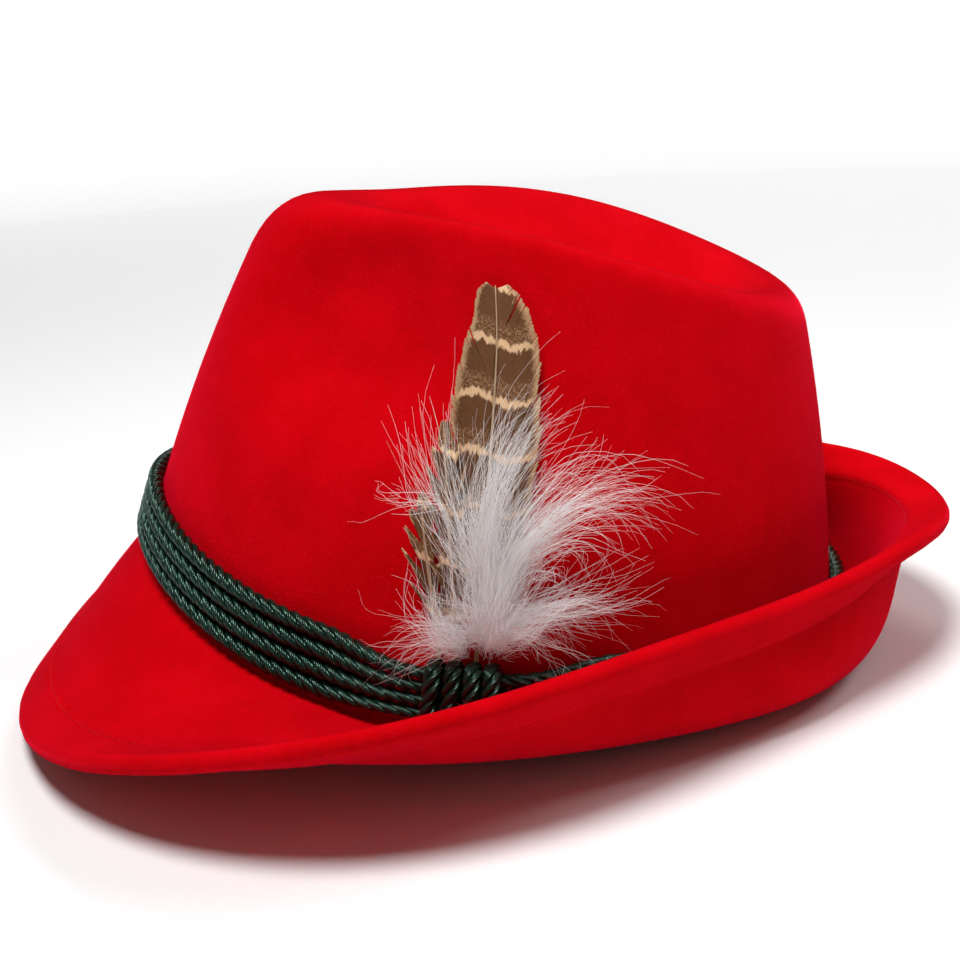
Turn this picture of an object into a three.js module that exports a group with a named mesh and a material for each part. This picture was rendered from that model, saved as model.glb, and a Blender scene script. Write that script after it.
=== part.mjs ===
// A Tyrolean hat of wool felt. One piece of felt is blocked into a crown with a teardrop crease and two
// front pinches, and a brim that is snapped down in front, turned up at the sides and back, and hemmed.
// Four rows of twisted cord lie round the foot of the crown. At the wearer's left the same cord is wound
// round the rows, and it holds the quills of a barred feather, two small feathers and a tuft of fluff.
//
// Millimetres and degrees, +Z up. The wearer faces -Y, so the wearer's left is +X. The shape is worked
// out about the head opening, whose foot line lies near height 0, and is then laid on the table plane
// Z = 0 as the hat rests by itself: nose up, on the front edge and on the foot of the crown's back.
//
// "around" is the angle round the head: 0 in front, 90 at the wearer's left, 180 behind.

import * as THREE from 'three';
import { mergeVertices } from 'three/addons/utils/BufferGeometryUtils.js';

// ---------- felt ----------
const FELT_THICKNESS = 2.2;
const COLUMNS = 60; // loops of felt are divided into this many steps

const CROWN = {
  footHalfLength: 108.8,
  footHalfWidth: 87,
  footShiftBack: 4.2,
  footEgg: 0.05, // the front of the foot line is narrower than the back by this share each way
  topEgg: 0.33, // and the ridge by this much more, which makes the crease a teardrop
  frontLean: 38.5, // how far the wall comes in from the foot to the ridge, and how far it bulges
  frontBulge: 3.5,
  backLean: 25.4,
  backBulge: 3.1,
  sideLean: 35.2,
  sideBulge: 5.4,
  creaseDepth: 22,
  creaseFall: 0.35, // slope at which the ridge turns over into the crease
  creaseRun: 0.55, // length of the crease's floor line as a share of the ridge's length
};

// The crown, front to back: heights of its foot line and of its ridge, and the radius of the ridge.
const CROWN_STATIONS = [
  { foot: 15, ridge: 129.2, radius: 26 },
  { foot: 1.5, ridge: 126, radius: 13.5 },
  { foot: -6.2, ridge: 123.8, radius: 5.3 },
  { foot: 0.3, ridge: 114.6, radius: 9.5 },
  { foot: 1, ridge: 111.3, radius: 13.7 },
];

// A soft dent pressed into each side of the crown's front. It is steepest in front and below: it reaches
// so many degrees to the front and to the back, and so many millimetres up and down.
const PINCH = { around: 50, heightShare: 0.7, depth: 14, toFront: 20, toBack: 34, above: 32, below: 20 };

// The brim, front to back. Pitch is the angle that it climbs at, near the crown and near the edge;
// bend is where along its width it changes from one to the other, and flare tips the hem outwards.
const BRIM_STATIONS = [
  { width: 56, rootPitch: -53, edgePitch: -58, bend: 0.34, flare: 0 },
  { width: 54.5, rootPitch: -39, edgePitch: -34.5, bend: 0.43, flare: 0 },
  { width: 60.5, rootPitch: -3, edgePitch: 11.5, bend: 0.59, flare: 0 },
  { width: 59.2, rootPitch: 13, edgePitch: 57, bend: 0.52, flare: 7 },
  { width: 46.5, rootPitch: 17, edgePitch: 97, bend: 0.38, flare: 20 },
  { width: 50.8, rootPitch: 16, edgePitch: 108, bend: 0.33, flare: 48 },
  { width: 56, rootPitch: 22, edgePitch: 81, bend: 0.22, flare: 60 },
];
const BRIM_BEND_RUN = 0.6; // share of the width over which the pitch changes

const HEM = {
  width: 12, // the strip of brim that is folded under and stitched
  extraThickness: 3,
  extraAbove: 0.35, // share of the extra thickness that shows on the upper side
  step: 2, // run over which the folded edge ends
  flareRun: 8,
};
const FOOT_FILLET = 4; // size of the soft bend between crown and brim

// Rows of the felt's grid. Crown rows are shares of the height up to where the ridge starts to turn.
const CREASE_ROWS = [1, 0.72, 0.45, 0.2];
const RIDGE_ROWS = [1, 0.67, 0.33];
const WALL_ROWS = [1, 0.86, 0.72, 0.58, 0.44, 0.3, 0.16];
const FILLET_ROWS = [0.35, 0.7];
const BRIM_ROWS = [0.16, 0.28, 0.4, 0.52, 0.64, 0.74];
const HEM_ROWS = [12, 10, 5, 0]; // distances from the edge
const EDGE_TURN = [45, 0, -45]; // steps of the round edge of the brim
const BRIM_STEPS = 64; // steps in which the brim's curve is summed

// ---------- how it rests ----------
const REST = { noseUp: 8, lift: 15.2 };

// ---------- cord band ----------
const SEAT_GAP = 0.3; // clearance between neighbouring pieces
const CORD_RADIUS = 2.3;
const CORD_SIDES = 6;
const BAND = { rows: 4, firstHeight: 4.7, pitch: 4.95, stepAround: 6 };
const WRAP = {
  around: 88.1,
  turns: 4,
  pitch: 4.95,
  squeeze: 0.7, // the rows are pressed together to this share of their height
  sideGap: 0.45, // clearance above and below the rows
  sideHalfThickness: 1.2, // the winding cord is pressed flat over and under the rows,
  backHalfThickness: 0.9, // and flatter still behind them
  fadeStart: 13, // the rows leave the wrap and spread again between these distances
  fadeEnd: 42,
  steps: 20,
  squareness: 4.4,
  stepAround: 2,
  fineFrom: 60, // the rows are divided finely between these angles, where they are pressed together
  fineTo: 120,
};
const MM_PER_DEGREE = THREE.MathUtils.degToRad(1) * CROWN.footHalfLength; // along the side of the foot

// ---------- feathers ----------
const QUILL_RADIUS = 0.8;
// How far the rows stand off the crown at the wrap: a quill and the back of the wrap lie behind them.
const WRAP_LIFT = 2 * QUILL_RADIUS + SEAT_GAP + 2 * WRAP.backHalfThickness + SEAT_GAP;

// Each row is a section across the feather: height above the foot line, distance of its middle line
// off the crown, place along the hat's length, half breadths to the front and back, half thickness.
const FEATHERS = {
  feather_main: [
    { height: 4, off: 1.4, along: 3.5, toFront: 0.8, toBack: 0.8, half: 0.8 },
    { height: 23, off: 1.4, along: 3.5, toFront: 0.8, toBack: 0.8, half: 0.8 },
    { height: 32, off: 2.6, along: 3.4, toFront: 1.2, toBack: 1.2, half: 0.7 },
    { height: 46, off: 3, along: 3.2, toFront: 7, toBack: 8, half: 0.5 },
    { height: 66, off: 3, along: 3, toFront: 8, toBack: 12, half: 0.5 },
    { height: 80, off: 3, along: 2.9, toFront: 10, toBack: 13, half: 0.5 },
    { height: 92, off: 3, along: 2.6, toFront: 9.6, toBack: 11.5, half: 0.5 },
    { height: 103, off: 3, along: 1.8, toFront: 5.4, toBack: 8.6, half: 0.5 },
    { height: 111, off: 3, along: 0.6, toFront: 2.2, toBack: 3, half: 0.5 },
  ],
  feather_side_1: [
    { height: 5, off: 1.4, along: -1.5, toFront: 0.7, toBack: 0.7, half: 0.7 },
    { height: 23, off: 1.4, along: -1.5, toFront: 0.7, toBack: 0.7, half: 0.7 },
    { height: 31, off: 4.8, along: -2.2, toFront: 1, toBack: 1, half: 0.5 },
    { height: 44, off: 5, along: -3.9, toFront: 4.6, toBack: 4.6, half: 0.5 },
    { height: 64, off: 5.4, along: -6.9, toFront: 4.6, toBack: 4.8, half: 0.5 },
    { height: 79, off: 5.4, along: -8.8, toFront: 1, toBack: 1, half: 0.5 },
  ],
  feather_side_2: [
    { height: 6, off: 1.4, along: -6, toFront: 0.7, toBack: 0.7, half: 0.7 },
    { height: 23, off: 1.4, along: -6, toFront: 0.7, toBack: 0.7, half: 0.7 },
    { height: 30, off: 2.4, along: -7, toFront: 2, toBack: 1.6, half: 0.5 },
    { height: 42, off: 3, along: -9.9, toFront: 4.4, toBack: 3.8, half: 0.5 },
    { height: 60, off: 3, along: -13.2, toFront: 1, toBack: 1, half: 0.5 },
  ],
  fluff: [
    { height: 5, off: 1.4, along: 8, toFront: 0.8, toBack: 0.8, half: 0.8 },
    { height: 23, off: 1.4, along: 8, toFront: 0.8, toBack: 0.8, half: 0.8 },
    { height: 27, off: 8, along: 6.5, toFront: 8, toBack: 9, half: 2 },
    { height: 34, off: 11, along: 6.5, toFront: 13, toBack: 16, half: 5.2 },
    { height: 46, off: 12.5, along: 7.5, toFront: 15, toBack: 21, half: 6.8 },
    { height: 60, off: 12, along: 9, toFront: 14, toBack: 20, half: 6 },
    { height: 72, off: 10.5, along: 10, toFront: 9, toBack: 14, half: 3.8 },
    { height: 80, off: 9, along: 11, toFront: 3, toBack: 5, half: 1.6 },
  ],
};
const FEATHER_SIDES = 8;

// ---------- materials ----------
const FELT_RED = { color: 0xb3000f, roughness: 0.95, metalness: 0 };
const CORD_GREEN = { color: 0x12301f, roughness: 0.55, metalness: 0 };
const FEATHER_BROWN = { color: 0x6b4a2c, roughness: 0.7, metalness: 0 };
const FLUFF_WHITE = { color: 0xe4dcd6, roughness: 0.9, metalness: 0 };

const SAME_POINT = 1e-3; // points nearer to each other than this are one point

// ---------- small helpers ----------
const radians = THREE.MathUtils.degToRad;
const smooth = (value) => THREE.MathUtils.smoothstep(value, 0, 1);

// A column's value at an angle round the hat. The stations are evenly spread from front to back, both
// sides of the hat are alike, and the cosine series through them has no corner anywhere.
function roundTheHat(stations, column, around) {
  const last = stations.length - 1;
  let value = 0;
  for (let wave = 0; wave <= last; wave += 1) {
    let share = 0;
    stations.forEach((station, i) => {
      const weight = i === 0 || i === last ? 0.5 : 1;
      share += weight * station[column] * Math.cos((Math.PI * wave * i) / last);
    });
    const half = wave === 0 || wave === last ? 0.5 : 1;
    value += ((2 * half * share) / last) * Math.cos(wave * radians(around));
  }
  return value;
}

// Angles round the hat, from the front by the wearer's left to the back and home by the right. The two
// sides are exact mirror images.
function loopAngles(count) {
  return Array.from({ length: count }, (_, j) => (j <= count / 2 ? j : j - count) * (360 / count));
}

// ---------- the crown's surface ----------
const footHeight = (around) => roundTheHat(CROWN_STATIONS, 'foot', around);
const ridgeHeight = (around) => roundTheHat(CROWN_STATIONS, 'ridge', around);

// The outer wall: share 0 is the foot line and share 1 the sharp ridge line before it is rounded.
function wallPoint(around, share) {
  const front = Math.cos(radians(around));
  const side = Math.sin(radians(around));
  const bulge = 4 * share * (1 - share);
  const atFront = CROWN.frontLean * share - CROWN.frontBulge * bulge;
  const atBack = CROWN.backLean * share - CROWN.backBulge * bulge;
  const atSide = CROWN.sideLean * share - CROWN.sideBulge * bulge;
  const halfLength = CROWN.footHalfLength - (atFront + atBack) / 2;
  const halfWidth = CROWN.footHalfWidth - atSide;
  const egg = CROWN.footEgg + CROWN.topEgg * share ** 3;
  return new THREE.Vector3(
    halfWidth * side * (1 - egg * front),
    CROWN.footShiftBack + (atFront - atBack) / 2 - halfLength * front,
    footHeight(around) * (1 - share) + ridgeHeight(around) * share,
  );
}

// The wall point at a height above the foot line, which the cords and feathers follow.
const wallPointAtHeight = (around, height) => wallPoint(around, height / ridgeHeight(around));

// Level direction straight out from the foot line.
function outward(around) {
  const nearby = 0.01;
  const along = wallPoint(around + nearby, 0).sub(wallPoint(around - nearby, 0));
  return new THREE.Vector3(along.y, -along.x, 0).normalize();
}

// How deep the front pinches press the wall in at a place on it.
function pinchDepth(around, share) {
  const across = Math.abs(around) - PINCH.around;
  const up = (share - PINCH.heightShare) * ridgeHeight(around);
  const reached = Math.hypot(
    across / (across < 0 ? PINCH.toFront : PINCH.toBack),
    up / (up > 0 ? PINCH.above : PINCH.below),
  );
  return PINCH.depth * Math.exp(-(reached ** 3));
}

function pinchedWallPoint(around, share) {
  return wallPoint(around, share).addScaledVector(outward(around), -pinchDepth(around, share));
}

// Where the crease's floor runs along the middle of the crown, below the ridge point beside it.
function creaseFloor(around) {
  const ridge = wallPoint(around, 1);
  const middle = (wallPoint(0, 1).y + wallPoint(180, 1).y) / 2;
  const y = middle + (ridge.y - middle) * CROWN.creaseRun;
  return new THREE.Vector3(0, y, ridge.z - CROWN.creaseDepth);
}

// Outer points of the crown on one side of the head, from the crease's floor over the ridge to the foot.
function crownColumn(around) {
  const radius = roundTheHat(CROWN_STATIONS, 'radius', around);
  const turnShare = 1 - radius / ridgeHeight(around);
  const corner = pinchedWallPoint(around, 1);
  const floor = creaseFloor(around);
  const inward = new THREE.Vector3(-corner.x, floor.y - corner.y, 0);
  const lip = corner.clone().addScaledVector(inward.normalize(), radius);
  lip.z -= CROWN.creaseFall * radius;
  const run = Math.hypot(lip.x, lip.y - floor.y);
  const fall = lip.z - floor.z;
  const startSlope = (CROWN.creaseFall * run) / fall;

  const crease = CREASE_ROWS.map((q) => {
    const sunk = startSlope * (q ** 3 - 2 * q ** 2 + q) + 3 * q ** 2 - 2 * q ** 3;
    const point = lip.clone().lerp(floor, q);
    point.z = lip.z - fall * sunk;
    return point;
  });
  const ridge = new THREE.QuadraticBezierCurve3(pinchedWallPoint(around, turnShare), corner, lip);
  const turn = RIDGE_ROWS.map((q) => ridge.getPoint(q));
  const filletShare = FOOT_FILLET / ridgeHeight(around);
  const wall = WALL_ROWS.map((q) => pinchedWallPoint(around, filletShare + (turnShare - filletShare) * q));
  return [...crease, ...turn, ...wall, pinchedWallPoint(around, filletShare)];
}

// ---------- the brim's surface ----------
// Outer points of the brim at one angle round the head, from the foot fillet to the edge.
function brimColumn(around) {
  const at = (column) => roundTheHat(BRIM_STATIONS, column, around);
  const width = at('width');
  const foot = wallPoint(around, 0);
  const out = outward(around);
  const place = (reach, rise) => foot.clone().addScaledVector(out, reach).add(new THREE.Vector3(0, 0, rise));
  const pitchAt = (along) => {
    const bent = smooth((along / width - at('bend')) / BRIM_BEND_RUN + 0.5);
    const flared = smooth((along - width + HEM.width + HEM.step) / HEM.flareRun);
    return radians(at('rootPitch') + (at('edgePitch') - at('rootPitch')) * bent - at('flare') * flared);
  };
  const wanted = [FOOT_FILLET, ...BRIM_ROWS.map((share) => share * width), ...HEM_ROWS.map((d) => width - d)];
  const points = [];
  let reach = 0;
  let rise = 0;
  let along = 0;
  wanted.forEach((distance) => {
    const steps = Math.ceil((BRIM_STEPS * (distance - along)) / width);
    const step = (distance - along) / steps;
    for (let i = 0; i < steps; i += 1) {
      const pitch = pitchAt(along + step / 2);
      reach += Math.cos(pitch) * step;
      rise += Math.sin(pitch) * step;
      along += step;
    }
    const pitch = pitchAt(along);
    const above = HEM.extraAbove * hemExtra(width - along);
    points.push(place(reach - Math.sin(pitch) * above, rise + Math.cos(pitch) * above));
  });
  const filletTop = pinchedWallPoint(around, FOOT_FILLET / ridgeHeight(around));
  const fillet = new THREE.QuadraticBezierCurve3(filletTop, foot, points[0]);
  return [...FILLET_ROWS.map((q) => fillet.getPoint(q)), ...points];
}

const hemExtra = (fromEdge) => HEM.extraThickness * smooth((HEM.width - fromEdge) / HEM.step);

// ---------- laying the hat on the table ----------
function layOnTable(point) {
  const laid = point.clone().applyAxisAngle(new THREE.Vector3(1, 0, 0), -radians(REST.noseUp));
  laid.z += REST.lift;
  return laid;
}

// Felt gives where it rests, so nothing of it passes below the table.
function layFeltOnTable(point) {
  const laid = layOnTable(point);
  laid.z = Math.max(laid.z, 0);
  return laid;
}

// ---------- geometry from loops ----------
// Faces between successive loops of equal length. Going along a loop and then to the next loop turns
// about the inward direction.
function skinIndex(loopCount, loopLength) {
  const index = [];
  for (let row = 0; row + 1 < loopCount; row += 1) {
    for (let j = 0; j < loopLength; j += 1) {
      const a = row * loopLength + j;
      const b = row * loopLength + ((j + 1) % loopLength);
      index.push(a, b + loopLength, b, a, a + loopLength, b + loopLength);
    }
  }
  return index;
}

function geometryFrom(points, index) {
  const geometry = new THREE.BufferGeometry().setFromPoints(points);
  geometry.setIndex(index);
  const merged = mergeVertices(geometry, SAME_POINT);
  merged.computeVertexNormals();
  return merged;
}

// A tube through loops, closed with a fan at each end.
function cappedTube(loops) {
  const length = loops[0].length;
  const index = skinIndex(loops.length, length);
  const points = loops.flat();
  [loops[0], loops[loops.length - 1]].forEach((loop, end) => {
    const middle = loop.reduce((sum, point) => sum.add(point), new THREE.Vector3()).divideScalar(length);
    points.push(middle);
    const first = end === 0 ? 0 : (loops.length - 1) * length;
    for (let j = 0; j < length; j += 1) {
      const a = first + j;
      const b = first + ((j + 1) % length);
      index.push(points.length - 1, ...(end === 0 ? [a, b] : [b, a]));
    }
  });
  return geometryFrom(points, index);
}

// A tube whose last loop joins its first.
function closedTube(loops) {
  return geometryFrom([...loops, loops[0]].flat(), skinIndex(loops.length + 1, loops[0].length));
}

// ---------- the felt body ----------
// The inner or under side: each outer point moved through the felt, square to the surface.
function innerSheet(outer, thicknessOfRow) {
  const columns = outer[0].length;
  return outer.map((loop, row) => loop.map((point, j) => {
    if (row === 0) return point.clone().add(new THREE.Vector3(0, 0, -FELT_THICKNESS));
    const alongLoop = loop[(j + 1) % columns].clone().sub(loop[(j + columns - 1) % columns]);
    const next = outer[Math.min(row + 1, outer.length - 1)][j];
    const downSheet = next.clone().sub(outer[row - 1][j]);
    const normal = downSheet.cross(alongLoop).normalize();
    return point.clone().addScaledVector(normal, -thicknessOfRow[row]);
  }));
}

function feltBody() {
  const columns = loopAngles(COLUMNS).map((around) => [...crownColumn(around), ...brimColumn(around)]);
  const rows = columns[0].length;
  const outer = Array.from({ length: rows }, (_, row) => columns.map((column) => column[row]));
  const thickness = outer.map((_, row) => {
    const hemRow = row - (rows - HEM_ROWS.length);
    return FELT_THICKNESS + (hemRow >= 0 ? hemExtra(HEM_ROWS[hemRow]) : 0);
  });
  const inner = innerSheet(outer, thickness);
  const edge = EDGE_TURN.map((angle) => outer[rows - 1].map((top, j) => {
    const under = inner[rows - 1][j];
    const middle = top.clone().add(under).divideScalar(2);
    const up = top.clone().sub(middle);
    const past = top.clone().sub(outer[rows - 2][j]).normalize().multiplyScalar(up.length());
    const turn = radians(angle);
    return middle.addScaledVector(up, Math.sin(turn)).addScaledVector(past, Math.cos(turn));
  }));
  const loops = [...outer, ...edge, ...inner.reverse()].map((loop) => loop.map(layFeltOnTable));
  return geometryFrom(loops.flat(), skinIndex(loops.length, COLUMNS));
}

// ---------- the cord band ----------
// 1 under the wrap, falling to 0 where the rows lie on the crown again.
function wrapNearness(around) {
  const away = Math.abs(around - WRAP.around) * MM_PER_DEGREE;
  return 1 - smooth((away - WRAP.fadeStart) / (WRAP.fadeEnd - WRAP.fadeStart));
}

const bandMiddle = BAND.firstHeight + ((BAND.rows - 1) / 2) * BAND.pitch;

// An oval section of cord about a centre, half sizes along two directions.
function cordSection(centre, sideways, halfSideways, upward, halfUpward) {
  return Array.from({ length: CORD_SIDES }, (_, i) => {
    const turn = (2 * Math.PI * (i + 0.5)) / CORD_SIDES;
    return centre.clone()
      .addScaledVector(sideways, halfSideways * Math.cos(turn))
      .addScaledVector(upward, halfUpward * Math.sin(turn));
  });
}

function bandCord(row) {
  const coarse = loopAngles(360 / BAND.stepAround).map((around) => (around < 0 ? around + 360 : around));
  const away = (around) => Math.abs(around - WRAP.around) * MM_PER_DEGREE;
  const fine = [];
  for (let around = WRAP.fineFrom; around < WRAP.fineTo; around += WRAP.stepAround) {
    if (around % BAND.stepAround !== 0 && away(around) < WRAP.fadeEnd) fine.push(around);
  }
  const angles = [...coarse, ...fine].sort((a, b) => a - b);
  const up = new THREE.Vector3(0, 0, 1);
  const loops = angles.map((around) => {
    const near = wrapNearness(around);
    const squeeze = 1 - (1 - WRAP.squeeze) * near;
    const height = bandMiddle + (row - (BAND.rows - 1) / 2) * BAND.pitch * squeeze;
    const out = outward(around);
    const centre = wallPointAtHeight(around, height)
      .addScaledVector(out, SEAT_GAP + CORD_RADIUS + WRAP_LIFT * near);
    return cordSection(centre, out, CORD_RADIUS, up, CORD_RADIUS * squeeze).map(layOnTable);
  });
  return closedTube(loops);
}

// One turn of cord round all four rows.
function wrapTurn(turn) {
  const around = WRAP.around + ((turn - (WRAP.turns - 1) / 2) * WRAP.pitch) / MM_PER_DEGREE;
  const up = wallPointAtHeight(around, 2 * bandMiddle).sub(wallPointAtHeight(around, 0)).normalize();
  const along = new THREE.Vector3().crossVectors(up, outward(around)).normalize();
  const out = new THREE.Vector3().crossVectors(along, up);
  const centre = wallPointAtHeight(around, bandMiddle)
    .addScaledVector(outward(around), SEAT_GAP + CORD_RADIUS + WRAP_LIFT);
  const rowsHalfHeight = WRAP.squeeze * (((BAND.rows - 1) / 2) * BAND.pitch + CORD_RADIUS);
  const halfThickness = (angle) => {
    const front = Math.cos(angle);
    const end = front > 0 ? CORD_RADIUS : WRAP.backHalfThickness;
    return WRAP.sideHalfThickness + (end - WRAP.sideHalfThickness) * front ** 2;
  };
  const rounded = (value) => Math.sign(value) * Math.abs(value) ** (2 / WRAP.squareness);
  const pathPoint = (angle) => {
    const end = Math.cos(angle) > 0 ? CORD_RADIUS : WRAP.backHalfThickness;
    const reach = (CORD_RADIUS + SEAT_GAP + end) * rounded(Math.cos(angle));
    const rise = (rowsHalfHeight + WRAP.sideGap + WRAP.sideHalfThickness) * rounded(Math.sin(angle));
    return centre.clone().addScaledVector(out, reach).addScaledVector(up, rise);
  };
  const loops = Array.from({ length: WRAP.steps }, (_, i) => {
    const angle = (2 * Math.PI * (i + 0.5)) / WRAP.steps;
    const nearby = Math.PI / WRAP.steps;
    const ahead = pathPoint(angle + nearby).sub(pathPoint(angle - nearby)).normalize();
    const square = new THREE.Vector3().crossVectors(ahead, along).normalize();
    return cordSection(pathPoint(angle), square, halfThickness(angle), along, CORD_RADIUS).map(layOnTable);
  });
  return closedTube(loops);
}

// ---------- feathers and fluff ----------
// A closed body through flat oval sections that stand one above another along the crown's left side.
function plume(sections) {
  const loops = sections.map((section) => {
    const share = section.height / ridgeHeight(90);
    const front = wallPoint(0, share).y;
    const back = wallPoint(180, share).y;
    const around = THREE.MathUtils.radToDeg(Math.acos((front + back - 2 * section.along) / (back - front)));
    const out = outward(90);
    const forward = new THREE.Vector3(0, -1, 0);
    const centre = wallPointAtHeight(around, section.height).addScaledVector(out, section.off);
    return Array.from({ length: FEATHER_SIDES }, (_, i) => {
      const turn = (-2 * Math.PI * i) / FEATHER_SIDES;
      const breadth = Math.cos(turn) > 0 ? section.toFront : section.toBack;
      return layOnTable(centre.clone()
        .addScaledVector(forward, breadth * Math.cos(turn))
        .addScaledVector(out, section.half * Math.sin(turn)));
    });
  });
  return cappedTube(loops);
}

// ---------- the hat ----------
const hat = new THREE.Group();

function addPiece(name, geometry, look) {
  const piece = new THREE.Mesh(geometry, new THREE.MeshStandardMaterial(look));
  piece.name = name;
  hat.add(piece);
  return piece;
}

const felt = addPiece('felt_body', feltBody(), FELT_RED);
for (let row = 0; row < BAND.rows; row += 1) addPiece(`band_cord_${row + 1}`, bandCord(row), CORD_GREEN);
for (let turn = 0; turn < WRAP.turns; turn += 1) {
  addPiece(`cord_wrap_${turn + 1}`, wrapTurn(turn), CORD_GREEN);
}
Object.entries(FEATHERS).forEach(([name, sections]) => {
  addPiece(name, plume(sections), name === 'fluff' ? FLUFF_WHITE : FEATHER_BROWN);
});

// The origin is on the table under the middle of the felt's length.
felt.geometry.computeBoundingBox();
hat.position.y = -(felt.geometry.boundingBox.min.y + felt.geometry.boundingBox.max.y) / 2;

export default hat;
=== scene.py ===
"""A Tyrolean felt hat, resting on a pale floor: fine felt, twisted cords, barred feather and white fluff.

Lengths are in millimetres and angles in degrees until a mesh is made. The wearer faces -Y, the wearer's
left is +X, and "around" is the angle round the head: 0 in front, 90 at the wearer's left, 180 behind.
"""

import bmesh
import bpy
import numpy as np
from mathutils import Matrix, Vector


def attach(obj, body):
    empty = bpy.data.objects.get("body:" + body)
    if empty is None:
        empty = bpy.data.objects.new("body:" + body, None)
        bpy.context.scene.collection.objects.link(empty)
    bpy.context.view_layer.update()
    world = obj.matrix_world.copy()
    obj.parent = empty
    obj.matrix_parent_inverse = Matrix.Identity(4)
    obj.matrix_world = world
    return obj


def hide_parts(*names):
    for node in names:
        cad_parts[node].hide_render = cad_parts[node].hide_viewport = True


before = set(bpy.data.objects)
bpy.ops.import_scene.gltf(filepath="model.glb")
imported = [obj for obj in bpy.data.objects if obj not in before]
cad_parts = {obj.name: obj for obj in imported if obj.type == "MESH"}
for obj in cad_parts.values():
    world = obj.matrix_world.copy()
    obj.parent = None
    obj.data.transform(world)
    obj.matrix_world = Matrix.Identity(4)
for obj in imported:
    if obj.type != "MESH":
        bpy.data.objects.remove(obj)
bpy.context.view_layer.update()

METRES = 0.001
SAME_POINT = 1e-6  # metres
rng = np.random.default_rng(7)
TUBE_SEED = 3  # turns each strand's section its own way
FEATHER_SEED = 20  # of the first feather; the others follow

# ---------------------------------------------------------------- sizes of the felt, as in the CAD part
FELT_THICKNESS = 2.2

CROWN = {
    "foot_half_length": 108.8, "foot_half_width": 87, "foot_shift_back": 4.2,
    "foot_egg": 0.05, "top_egg": 0.33,
    "front_lean": 38.5, "front_bulge": 3.5, "back_lean": 25.4, "back_bulge": 3.1,
    "side_lean": 35.2, "side_bulge": 5.4,
    "crease_depth": 22, "crease_fall": 0.35, "crease_run": 0.55,
}
CROWN_STATIONS = {  # front to back
    "foot": [15, 1.5, -6.2, 0.3, 1],
    "ridge": [129.2, 126, 123.8, 114.6, 111.3],
    "radius": [26, 13.5, 5.3, 9.5, 13.7],
}
PINCH = {
    "around": 50, "height_share": 0.7, "depth": 14,
    "to_front": 20, "to_back": 34, "above": 32, "below": 20,
}
BRIM_STATIONS = {  # front to back
    "width": [56, 54.5, 60.5, 59.2, 46.5, 50.8, 56],
    "root_pitch": [-53, -39, -3, 13, 17, 16, 22],
    "edge_pitch": [-58, -34.5, 11.5, 57, 97, 108, 81],
    "bend": [0.34, 0.43, 0.59, 0.52, 0.38, 0.33, 0.22],
    "flare": [0, 0, 0, 7, 20, 48, 60],
}
BRIM_BEND_RUN = 0.6
HEM = {"width": 12, "extra": 3, "above": 0.35, "step": 2, "flare_run": 8}
FOOT_FILLET = 4
REST = {"nose_up": 8, "lift": 15.2}

# The felt's grid, which is finer than the CAD part's: columns, rows, and the last rows' distances from
# the edge.
COLUMNS = 460
ROWS = {"crease": 23, "ridge": 12, "wall": 34, "fillet": 6, "brim": 25}
HEM_ROWS = np.array([
    14, 13.2, 12.6, 12.2, 11.8, 11.4, 11, 10.7, 10.4,
    10.1, 9.8, 9.3, 8.4, 7, 5.4, 3.8, 2.4, 1.1, 0,
])
HEM_LEAD = 1.5  # between the last row before the hem and the hem's first row
EDGE_TURN = (60, 30, 0, -30, -60)  # steps of the round edge
BRIM_STEPS = 4  # steps in which the brim's curve is summed from row to row
FAR_FROM_EDGE = 99  # stands for rows that the hem doesn't reach

# Detail of the felt that the CAD part leaves out.
STITCH = {
    "from_edge": 10.4, "pitch": 3.3, "length": 2.4, "groove": 0.45, "groove_width": 0.8,
    "thread": 0.2, "rise": 0.15, "sunk": 0.8, "thinning": 0.3,  # sunk and thinning are shares of the thread
    "points": 5, "sides": 6, "slope_rows": 3,  # rows on either side that give the felt's slope
}
FUZZ = {
    "count": 8200, "radius": 0.022, "taper": (1, 0.8, 0.3),
    "shortest": 0.5, "longest": 2.2, "mostly_short": 2.5, "rise": (8, 60), "curl": (-0.35, 0.1),
}

# ---------------------------------------------------------------- sizes of the cords, as in the CAD part
SEAT_GAP = 0.3
CORD_RADIUS = 2.3
BAND = {"rows": 4, "first_height": 4.7, "pitch": 4.95}
BAND_MIDDLE = BAND["first_height"] + (BAND["rows"] - 1) / 2 * BAND["pitch"]
WRAP = {
    "around": 88.1, "turns": 4, "pitch": 4.95, "squeeze": 0.7, "side_gap": 0.45,
    "side_half": 1.2, "back_half": 0.9, "fade_start": 13, "fade_end": 42, "squareness": 4.4,
}
QUILL_RADIUS = 0.8
WRAP_LIFT = 2 * QUILL_RADIUS + SEAT_GAP + 2 * WRAP["back_half"] + SEAT_GAP
MM_PER_DEGREE = np.radians(1) * CROWN["foot_half_length"]

# Detail of the cords that the CAD part leaves out.
PLY = {
    "count": 4, "radius": 0.95, "outer": 2.45, "lay": 17.0,
    "sides": 10, "band_points": 660, "wrap_points": 96,
}
YARN = {"count": 8, "lay": 24}  # the fine grooves on a ply

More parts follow.
